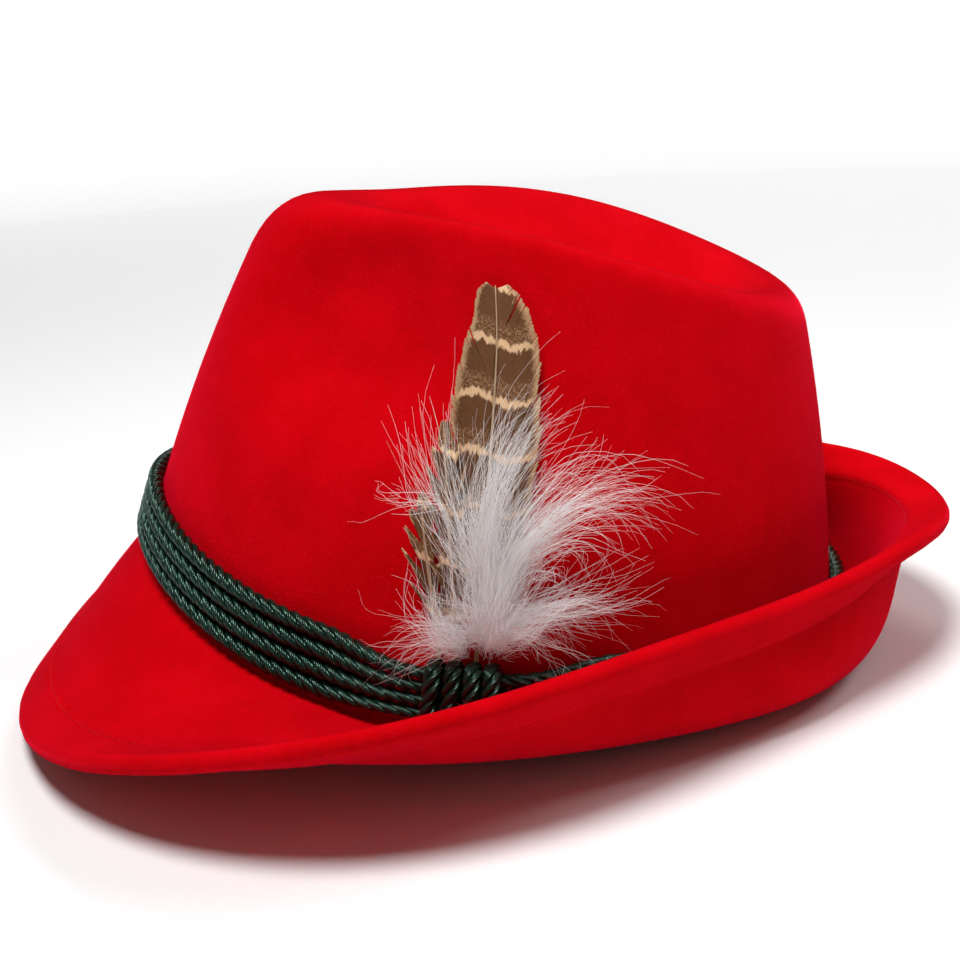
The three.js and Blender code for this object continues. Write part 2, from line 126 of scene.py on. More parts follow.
# ---------------------------------------------------------------- camera and light
CAMERA = {"azimuth": 94.3, "elevation": 18.07, "roll": -3.68, "distance": 474.7, "lens": 56.2, "sensor": 36}
CAMERA_TARGET = (0, -0.56, 51.66)
CLIP = (0.01, 30)  # metres
STAGE = {  # sizes in metres
    "floor_radius": 1.2, "sweep": 0.9, "top": 1.6, "sweep_points": 13, "sides": 96,
    "sky": 0.1, "glow": 0.75, "glow_from": 0.35, "glow_to": 1.5,
}
HAT_MIDDLE = (0, 0, 0.06)  # metres
LIGHTS = {  # place and size in metres, and power in watts
    "key": ((0.32, -0.14, 1.34), 0.5, 18),
    "back": ((-0.16, 0.9, 0.97), 0.5, 4),
    "far_side": ((-0.9, 0.16, 0.97), 0.5, 3.5),
}


# ---------------------------------------------------------------- helpers
def cosd(angle):
    return np.cos(np.radians(angle))


def sind(angle):
    return np.sin(np.radians(angle))


def smooth(value):
    value = np.clip(value, 0, 1)
    return value * value * (3 - 2 * value)


def unit(vectors):
    return vectors / np.maximum(np.linalg.norm(vectors, axis=-1, keepdims=True), 1e-12)


def round_the_hat(stations, column, around):
    """The cosine series through evenly spaced stations, front to back."""
    values = np.array(stations[column], float)
    last = len(values) - 1
    wave = np.arange(last + 1)
    ends = np.where((wave == 0) | (wave == last), 0.5, 1.0)
    share = 2 / last * ends * (np.cos(np.pi * np.outer(wave, wave) / last) @ (ends * values))
    return np.cos(np.radians(np.asarray(around, float))[..., None] * wave) @ share


def make_piece(name, vertices, faces, material, replaces=()):
    """A mesh object from millimetre points, riding on the hat's one body."""
    mesh = bpy.data.meshes.new(name)
    vertices = np.asarray(vertices, np.float32).reshape(-1, 3) * METRES
    face_sets = [faces] if isinstance(faces, np.ndarray) else faces
    sizes = [face_set.shape[1] for face_set in face_sets for _ in face_set]
    corners = np.concatenate([face_set.ravel() for face_set in face_sets])
    mesh.vertices.add(len(vertices))
    mesh.vertices.foreach_set("co", vertices.ravel())
    mesh.loops.add(len(corners))
    mesh.loops.foreach_set("vertex_index", corners.astype(np.int32))
    starts = np.concatenate([[0], np.cumsum(sizes)[:-1]]).astype(np.int32)
    mesh.polygons.add(len(sizes))
    mesh.polygons.foreach_set("loop_start", starts)
    mesh.polygons.foreach_set("use_smooth", np.full(len(sizes), True))
    mesh.update(calc_edges=True)
    mesh.validate()
    mesh.materials.append(material)
    piece = bpy.data.objects.new(name, mesh)
    bpy.context.scene.collection.objects.link(piece)
    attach(piece, "root")
    if replaces:
        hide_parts(*replaces)
    return piece


def grid_faces(rows, columns, close_rows=False):
    """Quads of a grid of points whose columns close into a ring, as the rows may too."""
    r = np.arange(rows if close_rows else rows - 1)
    r, c = (a.ravel() for a in np.meshgrid(r, np.arange(columns), indexing="ij"))
    r2, c2 = (r + 1) % rows, (c + 1) % columns
    return np.stack([r * columns + c, r2 * columns + c, r2 * columns + c2, r * columns + c2], 1)


def strands(paths, radii, sides=3, flat=1.0, across=None):
    """Thin closed tubes. paths is strands x points x 3, radii strands x points, and flat tubes lie square
    to the direction across."""
    count, points, _ = paths.shape
    tangent = unit(np.gradient(paths, axis=1))
    if across is None:
        across = np.random.default_rng(TUBE_SEED).normal(size=(count, 1, 3))
    first = unit(np.cross(tangent, unit(across)))
    second = np.cross(tangent, first)
    turn = 2 * np.pi * np.arange(sides) / sides
    ring = (first[:, :, None] * np.cos(turn)[:, None] + second[:, :, None] * np.sin(turn)[:, None] * flat)
    vertices = paths[:, :, None] + ring * radii[:, :, None, None]
    base = (np.arange(count) * points * sides)[:, None, None, None]
    k = np.arange(points - 1)[None, :, None]
    j = np.arange(sides)[None, None, :]
    a = k * sides + j
    b = k * sides + (j + 1) % sides
    quads = np.stack(np.broadcast_arrays(a, b, b + sides, a + sides), -1) + base
    ends = np.arange(sides)[None]
    first_cap = ends[:, ::-1] + base[:, 0, 0]
    last_cap = ends + (points - 1) * sides + base[:, 0, 0]
    return vertices.reshape(-1, 3), [quads.reshape(-1, 4), np.concatenate([first_cap, last_cap])]


def join(parts):
    """Several (vertices, faces) as one."""
    vertices, faces, start = [], {}, 0
    for points, sets in parts:
        for quads in [sets] if isinstance(sets, np.ndarray) else sets:
            faces.setdefault(quads.shape[1], []).append(quads + start)
        vertices.append(points.reshape(-1, 3))
        start += len(vertices[-1])
    return np.concatenate(vertices), [np.concatenate(f) for f in faces.values()]


# ---------------------------------------------------------------- the crown's and brim's surfaces
def ridge_height(around):
    return round_the_hat(CROWN_STATIONS, "ridge", around)


def foot_height(around):
    return round_the_hat(CROWN_STATIONS, "foot", around)


def wall_point(around, share):
    around, share = np.broadcast_arrays(np.asarray(around, float), np.asarray(share, float))
    front, side = cosd(around), sind(around)
    bulge = 4 * share * (1 - share)
    at_front = CROWN["front_lean"] * share - CROWN["front_bulge"] * bulge
    at_back = CROWN["back_lean"] * share - CROWN["back_bulge"] * bulge
    at_side = CROWN["side_lean"] * share - CROWN["side_bulge"] * bulge
    half_length = CROWN["foot_half_length"] - (at_front + at_back) / 2
    half_width = CROWN["foot_half_width"] - at_side
    egg = CROWN["foot_egg"] + CROWN["top_egg"] * share**3
    return np.stack([
        half_width * side * (1 - egg * front),
        CROWN["foot_shift_back"] + (at_front - at_back) / 2 - half_length * front,
        foot_height(around) * (1 - share) + ridge_height(around) * share,
    ], -1)


def wall_point_at_height(around, height):
    return wall_point(around, np.asarray(height) / ridge_height(around))


def outward(around):
    nearby = 0.01
    along = wall_point(np.asarray(around) + nearby, 0) - wall_point(np.asarray(around) - nearby, 0)
    return unit(np.stack([along[..., 1], -along[..., 0], np.zeros(along.shape[:-1])], -1))


def pinch_depth(around, share):
    across = np.abs(around) - PINCH["around"]
    across = across / np.where(across < 0, PINCH["to_front"], PINCH["to_back"])
    up = (share - PINCH["height_share"]) * ridge_height(around)
    up = up / np.where(up > 0, PINCH["above"], PINCH["below"])
    return PINCH["depth"] * np.exp(-np.hypot(across, up) ** 3)


def pinched(around, share):
    return wall_point(around, share) - outward(around) * pinch_depth(around, share)[..., None]


def bezier(a, b, c, t):
    t = t[:, None, None]
    return a * (1 - t) ** 2 + b * 2 * t * (1 - t) + c * t**2


def crown_rows(around):
    """Rows of outer points from the crease's floor over the ridge to the foot fillet."""
    radius = round_the_hat(CROWN_STATIONS, "radius", around)
    turn_share = 1 - radius / ridge_height(around)
    one = np.ones_like(around)
    corner = pinched(around, one)
    ridge = wall_point(around, one)
    middle = (wall_point(0, 1)[1] + wall_point(180, 1)[1]) / 2
    floor = np.stack([0 * one, middle + (ridge[:, 1] - middle) * CROWN["crease_run"],
                      ridge[:, 2] - CROWN["crease_depth"]], -1)
    inward = floor - corner
    inward[:, 2] = 0
    lip = corner + unit(inward) * radius[:, None]
    lip[:, 2] -= CROWN["crease_fall"] * radius
    run = np.hypot(lip[:, 0], lip[:, 1] - floor[:, 1])
    fall = lip[:, 2] - floor[:, 2]
    start_slope = CROWN["crease_fall"] * run / fall
    q = np.linspace(1, 0, ROWS["crease"] + 1)[:-1, None]
    sunk = start_slope * (q**3 - 2 * q**2 + q) + 3 * q**2 - 2 * q**3
    crease = lip + (floor - lip) * q[..., None]
    crease[..., 2] = lip[:, 2] - fall * sunk
    turn = bezier(pinched(around, turn_share), corner, lip, np.linspace(1, 0, ROWS["ridge"] + 1)[:-1])
    low = FOOT_FILLET / ridge_height(around)
    wall = pinched(around[None], low + (turn_share - low) * np.linspace(1, 0, ROWS["wall"])[:, None])
    return [*crease, *turn, *wall]


def hem_extra(from_edge):
    return HEM["extra"] * smooth((HEM["width"] - from_edge) / HEM["step"])


def stitch_groove(from_edge):
    return STITCH["groove"] * np.exp(-((from_edge - STITCH["from_edge"]) / STITCH["groove_width"]) ** 2)


def brim_rows(around):
    """Rows of outer points from the foot fillet to the edge, and their distances from the edge."""
    at = {c: round_the_hat(BRIM_STATIONS, c, around) for c in BRIM_STATIONS}
    width, foot, out = at["width"], wall_point(around, 0), outward(around)
    shares = np.linspace(0, 1, ROWS["brim"] + 1)[1:, None]
    before_hem = width - HEM_ROWS[0] - HEM_LEAD - FOOT_FILLET
    wanted = [FOOT_FILLET + 0 * width, *(FOOT_FILLET + before_hem * shares), *(width - HEM_ROWS[:, None])]
    rows, distances = [], []
    reach, rise, along = (np.zeros_like(width) for _ in range(3))
    for distance in wanted:
        step = (distance - along) / BRIM_STEPS
        for i in range(BRIM_STEPS + 1):
            here = along + step * (i + 0.5) if i < BRIM_STEPS else distance
            bent = smooth((here / width - at["bend"]) / BRIM_BEND_RUN + 0.5)
            flared = smooth((here - width + HEM["width"] + HEM["step"]) / HEM["flare_run"])
            pitch = at["root_pitch"] + (at["edge_pitch"] - at["root_pitch"]) * bent - at["flare"] * flared
            if i < BRIM_STEPS:
                reach += cosd(pitch) * step
                rise += sind(pitch) * step
        along = distance
        above = HEM["above"] * hem_extra(width - along) - stitch_groove(width - along)
        offset = out * (reach - sind(pitch) * above)[:, None]
        offset[:, 2] += rise + cosd(pitch) * above
        rows.append(foot + offset)
        distances.append(width - along)
    top = pinched(around, FOOT_FILLET / ridge_height(around))
    fillet = bezier(top, foot, rows[0], np.linspace(0, 1, ROWS["fillet"] + 2)[1:-1])
    return [*fillet, *rows], [*(0 * width + FAR_FROM_EDGE for _ in fillet), *distances]


def tilt(points):
    """Nose up, on the front edge of the brim and the foot of the crown's back."""
    c, s = cosd(REST["nose_up"]), sind(REST["nose_up"])
    x, y, z = np.moveaxis(np.asarray(points, float), -1, 0)
    return np.stack([x, y * c + z * s, -y * s + z * c + REST["lift"]], -1)


def felt_loops():
    """Loops of the felt body from the crease's floor, over the outside, round the edge and back inside."""
    around = np.linspace(0, 360, COLUMNS, endpoint=False)
    around = np.where(around > 180, around - 360, around)
    brim, from_edge = brim_rows(around)
    crown = crown_rows(around)
    outer = np.array([*crown, *brim])
    from_edge = np.array([*(0 * around + FAR_FROM_EDGE for _ in crown), *from_edge])
    down = np.gradient(outer, axis=0)
    along = np.roll(outer, -1, 1) - np.roll(outer, 1, 1)
    normal = unit(np.cross(down, along))
    normal[0] = (0, 0, 1)
    thickness = FELT_THICKNESS + hem_extra(from_edge) - 2 * stitch_groove(from_edge)
    inner = outer - normal * thickness[..., None]
    middle = (outer[-1] + inner[-1]) / 2
    up = outer[-1] - middle
    past = unit(outer[-1] - outer[-2]) * np.linalg.norm(up, axis=1, keepdims=True)
    edge = [middle + up * sind(a) + past * cosd(a) for a in EDGE_TURN]
    crown_inside = inner[: len(crown)][::2]
    loops = [*outer, *edge, *inner[: len(crown) - 1 : -1], *crown_inside[::-1]]
    return np.array(loops)


CROWN_COUNT = ROWS["crease"] + ROWS["ridge"] + ROWS["wall"]
BRIM_COUNT = ROWS["fillet"] + 1 + ROWS["brim"] + len(HEM_ROWS)
UNDER_BRIM_END = CROWN_COUNT + BRIM_COUNT + len(EDGE_TURN) + BRIM_COUNT
STITCH_ROW = CROWN_COUNT + BRIM_COUNT - len(HEM_ROWS) + int(np.argmin(np.abs(HEM_ROWS - STITCH["from_edge"])))
UNDER_STITCH_ROW = 2 * (CROWN_COUNT + BRIM_COUNT) + len(EDGE_TURN) - 1 - STITCH_ROW

felt_points = tilt(felt_loops())
# The CAD part's origin is under the middle of the felt's length.
SHIFT = -(felt_points[..., 1].min() + felt_points[..., 1].max()) / 2
felt_points[..., 1] += SHIFT
felt_points[..., 2] = np.maximum(felt_points[..., 2], 0)  # felt gives where it rests


def lay_on_table(points):
    laid = tilt(points)
    laid[..., 1] += SHIFT
    return laid


# ---------------------------------------------------------------- materials
class Look:
    """A material's node tree, with short calls for the nodes used here."""

    def __init__(self, name, **settings):
        self.material = bpy.data.materials.new(name)
        self.material.use_nodes = True
        self.tree = self.material.node_tree
        self.shader = self.tree.nodes["Principled BSDF"]
        for socket, value in settings.items():
            self.shader.inputs[socket.replace("_", " ")].default_value = value

    def node(self, kind, inputs=(), **properties):
        made = self.tree.nodes.new("ShaderNode" + kind)
        for key, value in properties.items():
            setattr(made, key, value)
        for key, value in dict(inputs).items():
            if isinstance(value, bpy.types.NodeSocket):
                self.tree.links.new(value, made.inputs[key])
            else:
                made.inputs[key].default_value = value
        return made

    def math(self, operation, *values):
        return self.node("Math", dict(enumerate(values)), operation=operation).outputs[0]

    def place(self, scale=(1, 1, 1)):
        """Position on the hat in metres, stretched."""
        coordinates = self.node("TexCoord").outputs["Object"]
        return self.node("Mapping", {"Vector": coordinates, "Scale": scale}).outputs[0]

    def noise(self, vector, scale, detail, roughness):
        """Cloudy noise; scale is its cells per unit of the vector."""
        return self.node("TexNoise", {"Vector": vector, "Scale": scale, "Detail": detail,
                                      "Roughness": roughness}).outputs["Fac"]

    def between(self, value, low, high, to_low=0.0, to_high=1.0):
        """The value's smooth step from to_low, at low, to to_high, at high."""
        return self.node("MapRange", {"Value": value, "From Min": low, "From Max": high, "To Min": to_low,
                                      "To Max": to_high}, interpolation_type="SMOOTHSTEP").outputs[0]

    def mix(self, factor, a, b):
        made = self.node("Mix", {0: factor, 6: a, 7: b}, data_type="RGBA")
        return made.outputs[2]

    def colour(self, value):
        self.tree.links.new(value, self.shader.inputs["Base Color"])

    def bump(self, height, distance):
        """Relief of so many millimetres."""
        made = self.node("Bump", {"Height": height, "Distance": distance * METRES, "Strength": 1.0})
        self.tree.links.new(made.outputs[0], self.shader.inputs["Normal"])


def rgb(red, green, blue):
    """A colour in linear light."""
    return (red, green, blue, 1.0)


def felt_look():
    look = Look("wool_felt", Roughness=0.93, Sheen_Weight=1.0, Sheen_Roughness=0.35,
                Sheen_Tint=rgb(1.0, 0.008, 0.045), Specular_IOR_Level=0.02)
    place = look.place()
    patches = look.noise(place, scale=55, detail=4, roughness=0.6)
    flecks = look.noise(place, scale=900, detail=3, roughness=0.7)
    fibres = look.noise(look.place((1, 1, 3)), scale=2600, detail=3, roughness=0.8)
    base = look.mix(look.between(patches, 0.3, 0.7), rgb(0.56, 0.0004, 0.003), rgb(0.65, 0.0006, 0.005))
    base = look.mix(look.between(flecks, 0.55, 0.8, to_high=0.35), base, rgb(0.9, 0.002, 0.015))
    look.colour(base)
    fine = look.math("ADD", flecks, look.math("MULTIPLY", fibres, 0.5))
    height = look.math("ADD", look.math("MULTIPLY", patches, 0.7), fine)
    look.bump(height, distance=0.22)
    return look.material


def nap_look():
    return Look("felt_nap", Base_Color=rgb(1.0, 0.02, 0.05), Roughness=0.8, Specular_IOR_Level=0.1).material


def thread_look():
    return Look("hem_thread", Base_Color=rgb(0.5, 0.001, 0.006), Roughness=0.6,
                Specular_IOR_Level=0.2).material


def cord_look():
    """Shiny plies of fine yarn. UV is the turn round the ply and the millimetres along the cord."""
    look = Look("rayon_cord", Roughness=0.22, Specular_IOR_Level=0.75, Specular_Tint=rgb(0.6, 1.0, 0.82))
    uv = look.node("SeparateXYZ", {0: look.node("TexCoord").outputs["UV"]})
    slant = look.math("ADD", look.math("MULTIPLY", uv.outputs[0], np.pi * YARN["count"]),
                      look.math("MULTIPLY", uv.outputs[1], np.pi * YARN["count"] / YARN["lay"]))
    yarns = look.math("ABSOLUTE", look.math("SINE", slant))
    fine = look.noise(look.place(), scale=3500, detail=2, roughness=0.6)
    tone = look.noise(look.place(), scale=500, detail=2, roughness=0.5)
    green = look.mix(look.between(tone, 0.35, 0.7), rgb(0.002, 0.013, 0.008), rgb(0.006, 0.034, 0.022))
    # painted shade: the grooves between the yarns are coloured near black, as if in their own shadow
    look.colour(look.mix(look.between(yarns, 0.1, 0.7), rgb(0.0008, 0.003, 0.002), green))
    height = look.math("ADD", yarns, look.math("MULTIPLY", fine, 0.15))
    look.bump(height, distance=0.16)
    return look.material


BARS = {  # the pale bars across the feathers
    "first": 91.4, "pitch": 13.3, "half": 0.85, "soft": 0.35, "dip": 1.1, "dip_rate": 0.33, "zigzag": 4.5,
}


def vane_look():
    """Barred brown vane. UV is the distance from the shaft and the height, in millimetres."""
    look = Look("barred_vane", Roughness=0.62, Specular_IOR_Level=0.1)
    uv = look.node("TexCoord").outputs["UV"]
    parts = look.node("SeparateXYZ", {0: uv})
    across, up = parts.outputs[0], parts.outputs[1]
    wide = look.node("Mapping", {"Vector": uv, "Scale": (0.9, 0.25, 1)}).outputs[0]
    narrow = look.node("Mapping", {"Vector": uv, "Scale": (1.6, 1.1, 1)}).outputs[0]
    wobble = look.noise(wide, scale=1.0, detail=3, roughness=0.6)
    speckle = look.noise(narrow, scale=1.4, detail=3, roughness=0.75)
    dip = look.math("SINE", look.math("MULTIPLY", across, BARS["dip_rate"]))
    dip = look.math("MULTIPLY", dip, BARS["dip"])
    zigzag = look.math("MULTIPLY", look.math("SUBTRACT", wobble, 0.5), BARS["zigzag"])
    level = look.math("ADD", look.math("ADD", up, dip), zigzag)
    above_first = look.math("SUBTRACT", level, BARS["first"])
    phase = look.math("FRACT", look.math("DIVIDE", above_first, BARS["pitch"]))
    from_bar = look.math("MULTIPLY", look.math("ABSOLUTE", look.math("SUBTRACT", phase, 0.5)), BARS["pitch"])
    bar = look.between(from_bar, BARS["half"] + BARS["soft"], BARS["half"] - BARS["soft"])
    starts = look.between(phase, 0.55, 0.62)
    ends = look.between(phase, 0.95, 0.8)
    mottled = look.math("MULTIPLY", starts, ends)
    mottled = look.math("MULTIPLY", mottled, look.between(speckle, 0.46, 0.6, to_high=0.75))
    brown = look.mix(speckle, rgb(0.07, 0.027, 0.01), rgb(0.2, 0.085, 0.034))
    base = look.mix(mottled, brown, rgb(0.4, 0.22, 0.115))
    base = look.mix(bar, base, rgb(0.72, 0.47, 0.27))
    edge = look.node("Attribute", attribute_name="edge").outputs["Fac"]
    ragged = look.math("MULTIPLY", look.math("SUBTRACT", speckle, 0.5), 0.3)
    edge = look.between(look.math("ADD", edge, ragged), 0.8, 0.95, to_high=0.9)
    look.colour(look.mix(edge, base, rgb(0.46, 0.27, 0.145)))
    return look.material


def shaft_look():
    return Look("feather_shaft", Base_Color=rgb(0.46, 0.30, 0.18), Roughness=0.4).material


def down_look():
    # painted light: the down glows faintly, standing in for light that shines through its thin strands
    return Look("white_down", Base_Color=rgb(0.97, 0.95, 0.94), Roughness=0.5, Sheen_Weight=0.3,
                Emission_Color=rgb(1.0, 0.93, 0.92), Emission_Strength=0.05).material


# ---------------------------------------------------------------- felt
def build_felt():
    faces = grid_faces(len(felt_points), COLUMNS)
    piece = make_piece("felt_body_blocked", felt_points, faces, FELT, ["felt_body"])
    mesh = bmesh.new()
    mesh.from_mesh(piece.data)
    bmesh.ops.remove_doubles(mesh, verts=mesh.verts, dist=SAME_POINT)
    mesh.to_mesh(piece.data)
    mesh.free()


def scatter_on_felt(count, first_row, last_row):
    """Random points on the felt between two rows, with the outward direction there."""
    grid = felt_points[first_row:last_row]
    a, b = grid[:-1], grid[1:]
    a2, b2 = np.roll(a, -1, 1), np.roll(b, -1, 1)
    normal = np.cross(b - a, a2 - a).reshape(-1, 3)
    area = np.linalg.norm(normal, axis=1)
    cell = rng.choice(len(area), count, p=area / area.sum())
    u, v = rng.random((2, count, 1))
    a, b, a2, b2 = (p.reshape(-1, 3)[cell] for p in (a, b, a2, b2))
    point = (a * (1 - u) + b * u) * (1 - v) + (a2 * (1 - u) + b2 * u) * v
    return point, unit(normal[cell])


def build_stitches(name, row):
    """Short threads in the groove along one row of the felt, end to end with small gaps."""
    line = felt_points[row]
    line = np.concatenate([line, line[:1]])
    run = np.concatenate([[0], np.cumsum(np.linalg.norm(np.diff(line, axis=0), axis=1))])
    count = round(run[-1] / STITCH["pitch"])
    middles = np.arange(count) * run[-1] / count
    bow = np.linspace(-1, 1, STITCH["points"])
    places = (middles[:, None] + bow * STITCH["length"] / 2) % run[-1]
    path = np.stack([np.interp(places, run, line[:, i]) for i in range(3)], -1)
    fold = felt_points[row + STITCH["slope_rows"]] - felt_points[row - STITCH["slope_rows"]]
    side = unit(np.cross(np.roll(felt_points[row], -1, 0) - felt_points[row], fold))
    side = np.stack([np.interp(places, run, np.append(side[:, i], side[0, i])) for i in range(3)], -1)
    lift = STITCH["rise"] * (1 - bow**2)[:, None] - STITCH["thread"] * STITCH["sunk"]
    radius = np.broadcast_to(STITCH["thread"] * (1 - STITCH["thinning"] * bow**2), path.shape[:2])
    vertices, faces = strands(path - side * lift, radius, STITCH["sides"])
    make_piece(name, vertices, faces, THREAD)


def build_fuzz(name, first_row, last_row):
    """Fine hairs of the felt's nap, between two rows of the felt."""
    point, normal = scatter_on_felt(FUZZ["count"], first_row, last_row)
    count = len(point)
    side = unit(np.cross(normal, rng.normal(size=(count, 3))))
    share = rng.random((count, 1)) ** FUZZ["mostly_short"]
    length = FUZZ["shortest"] + (FUZZ["longest"] - FUZZ["shortest"]) * share
    rise = np.radians(rng.uniform(*FUZZ["rise"], (count, 1)))
    curl = rng.uniform(*FUZZ["curl"], (count, 1))
    t = np.array([0, 0.5, 1])[:, None, None]
    path = point + side * length * np.cos(rise) * t + normal * length * (np.sin(rise) * t + curl * t**2)
    path = np.moveaxis(path, 0, 1)
    path[..., 2] = np.maximum(path[..., 2], FUZZ["radius"])  # no hair dips into the table
    radius = np.broadcast_to(FUZZ["radius"] * np.array(FUZZ["taper"]), path.shape[:2])
    vertices, faces = strands(path, radius)
    make_piece(name, vertices, faces, NAP)


# ---------------------------------------------------------------- cords
def twisted_cord(centres, axis_out, axis_across, half_out, half_across, closed_turns):
    """Plies twisted round a closed centre line. The axes and half sizes give the cord's oval section."""
    points = len(centres)
    step = np.linalg.norm(np.roll(centres, -1, 0) - centres, axis=1)
    run = np.concatenate([[0], np.cumsum(step)[:-1]])
    total = step.sum()
    twist = 2 * np.pi * closed_turns / total
    along = np.cross(axis_out, axis_across)
    reach = PLY["outer"] - PLY["radius"]
    # a ply's section spans the direction away from the cord's middle and one square to that and to the ply
    section = 2 * np.pi * np.arange(PLY["sides"]) / PLY["sides"]
    away = reach + PLY["radius"] * np.cos(section)
    aside = PLY["radius"] * np.sin(section)
    norm = np.hypot(reach * twist, 1)
    shift_along = aside * (reach * twist / norm)
    scale_out = (half_out / CORD_RADIUS)[:, None, None]
    scale_across = (half_across / CORD_RADIUS)[:, None, None]
    parts = []
    for ply in range(PLY["count"]):
        angle = (twist * run + 2 * np.pi * ply / PLY["count"])[:, None]
        shift_out = away * np.cos(angle) + aside * (np.sin(angle) / norm)
        shift_across = away * np.sin(angle) + aside * (-np.cos(angle) / norm)
        ring = (centres[:, None] + axis_out[:, None] * shift_out[..., None] * scale_out
                + axis_across[:, None] * shift_across[..., None] * scale_across
                + along[:, None] * shift_along[..., None])
        parts.append((lay_on_table(ring).reshape(-1, 3), grid_faces(points, PLY["sides"], close_rows=True)))
    return join(parts), run, total


def make_cord(name, node, cord):
    """A cord's mesh, with the turn round the ply and the millimetres along the cord as its UV."""
    (vertices, faces), run, total = cord
    piece = make_piece(name, vertices, faces, CORD, [node])
    layer = piece.data.uv_layers.new(name="UVMap")
    sides, points = PLY["sides"], len(run)
    quad = grid_faces(points, sides, close_rows=True)
    row, column = quad // sides, quad % sides
    v = run[row]
    v = np.where((row == 0) & (row.max(1, keepdims=True) == points - 1), total, v)
    u = np.where((column == 0) & (column.max(1, keepdims=True) == sides - 1), sides, column) / sides
    uv = np.tile(np.stack([u, v], -1).reshape(-1, 2), (PLY["count"], 1))
    layer.data.foreach_set("uv", uv.astype(np.float32).ravel())


def wrap_nearness(around):
    """1 at the wrap, where the rows are pressed together, falling to 0 away from it."""
    away = np.abs(around - WRAP["around"]) * MM_PER_DEGREE
    return 1 - smooth((away - WRAP["fade_start"]) / (WRAP["fade_end"] - WRAP["fade_start"]))


def build_band_cord(row):
    around = np.linspace(0, 360, PLY["band_points"], endpoint=False)
    near = wrap_nearness(around)
    squeeze = 1 - (1 - WRAP["squeeze"]) * near
    height = BAND_MIDDLE + (row - (BAND["rows"] - 1) / 2) * BAND["pitch"] * squeeze
    out = outward(around)
    off = SEAT_GAP + CORD_RADIUS + WRAP_LIFT * near
    centres = wall_point_at_height(around, height) + out * off[:, None]
    ahead = unit(np.roll(centres, -1, 0) - np.roll(centres, 1, 0))
    across = unit(np.cross(ahead, out))
    length = np.linalg.norm(np.roll(centres, -1, 0) - centres, axis=1).sum()
    full = np.full(len(around), CORD_RADIUS)
    cord = twisted_cord(centres, out, across, full, full * squeeze, round(length / PLY["lay"]))
    make_cord(f"band_cord_{row + 1}_twisted", f"band_cord_{row + 1}", cord)


def build_wrap_turn(turn):
    around = WRAP["around"] + (turn - (WRAP["turns"] - 1) / 2) * WRAP["pitch"] / MM_PER_DEGREE
    up = unit(wall_point_at_height(around, 2 * BAND_MIDDLE) - wall_point_at_height(around, 0))
    along = unit(np.cross(up, outward(around)))
    out = np.cross(along, up)
    off = SEAT_GAP + CORD_RADIUS + WRAP_LIFT
    centre = wall_point_at_height(around, BAND_MIDDLE) + outward(around) * off
    rows_half = WRAP["squeeze"] * ((BAND["rows"] - 1) / 2 * BAND["pitch"] + CORD_RADIUS)
    angle = 2 * np.pi * (np.arange(PLY["wrap_points"]) + 0.5) / PLY["wrap_points"]
    nearby = 0.02

    def rounded(value):
        return np.sign(value) * np.abs(value) ** (2 / WRAP["squareness"])

    def path(angle):
        end = np.where(np.cos(angle) > 0, CORD_RADIUS, WRAP["back_half"])
        reach = (CORD_RADIUS + SEAT_GAP + end) * rounded(np.cos(angle))
        rise = (rows_half + WRAP["side_gap"] + WRAP["side_half"]) * rounded(np.sin(angle))
        return centre + out * reach[:, None] + up * rise[:, None]

    ahead = unit(path(angle + nearby) - path(angle - nearby))
    square = np.cross(ahead, along)
    front = np.cos(angle)
    end = np.where(front > 0, CORD_RADIUS, WRAP["back_half"])
    half = WRAP["side_half"] + (end - WRAP["side_half"]) * front**2
    centres = path(angle)
    length = np.linalg.norm(np.roll(centres, -1, 0) - centres, axis=1).sum()
    full = np.full(len(angle), CORD_RADIUS)
    # square, across and ahead turn the same way as out, across and ahead in the band's rows
    across = np.cross(ahead, square)
    cord = twisted_cord(centres, square, across, half, full, round(length / PLY["lay"]))
    make_cord(f"cord_wrap_{turn + 1}_twisted", f"cord_wrap_{turn + 1}", cord)


# ---------------------------------------------------------------- feathers
def plume_point(along, height, off):
    """A place by the crown's left side, before the hat is laid down: its y, its height above the foot and
    its distance off the crown."""
    share = np.asarray(height) / ridge_height(90)
    front, back = wall_point(0, share)[..., 1], wall_point(180, share)[..., 1]
    around = np.degrees(np.arccos(np.clip((front + back - 2 * np.asarray(along)) / (back - front), -1, 1)))
    out = outward(around)
    return wall_point_at_height(around, height) + out * np.asarray(off, float)[..., None]


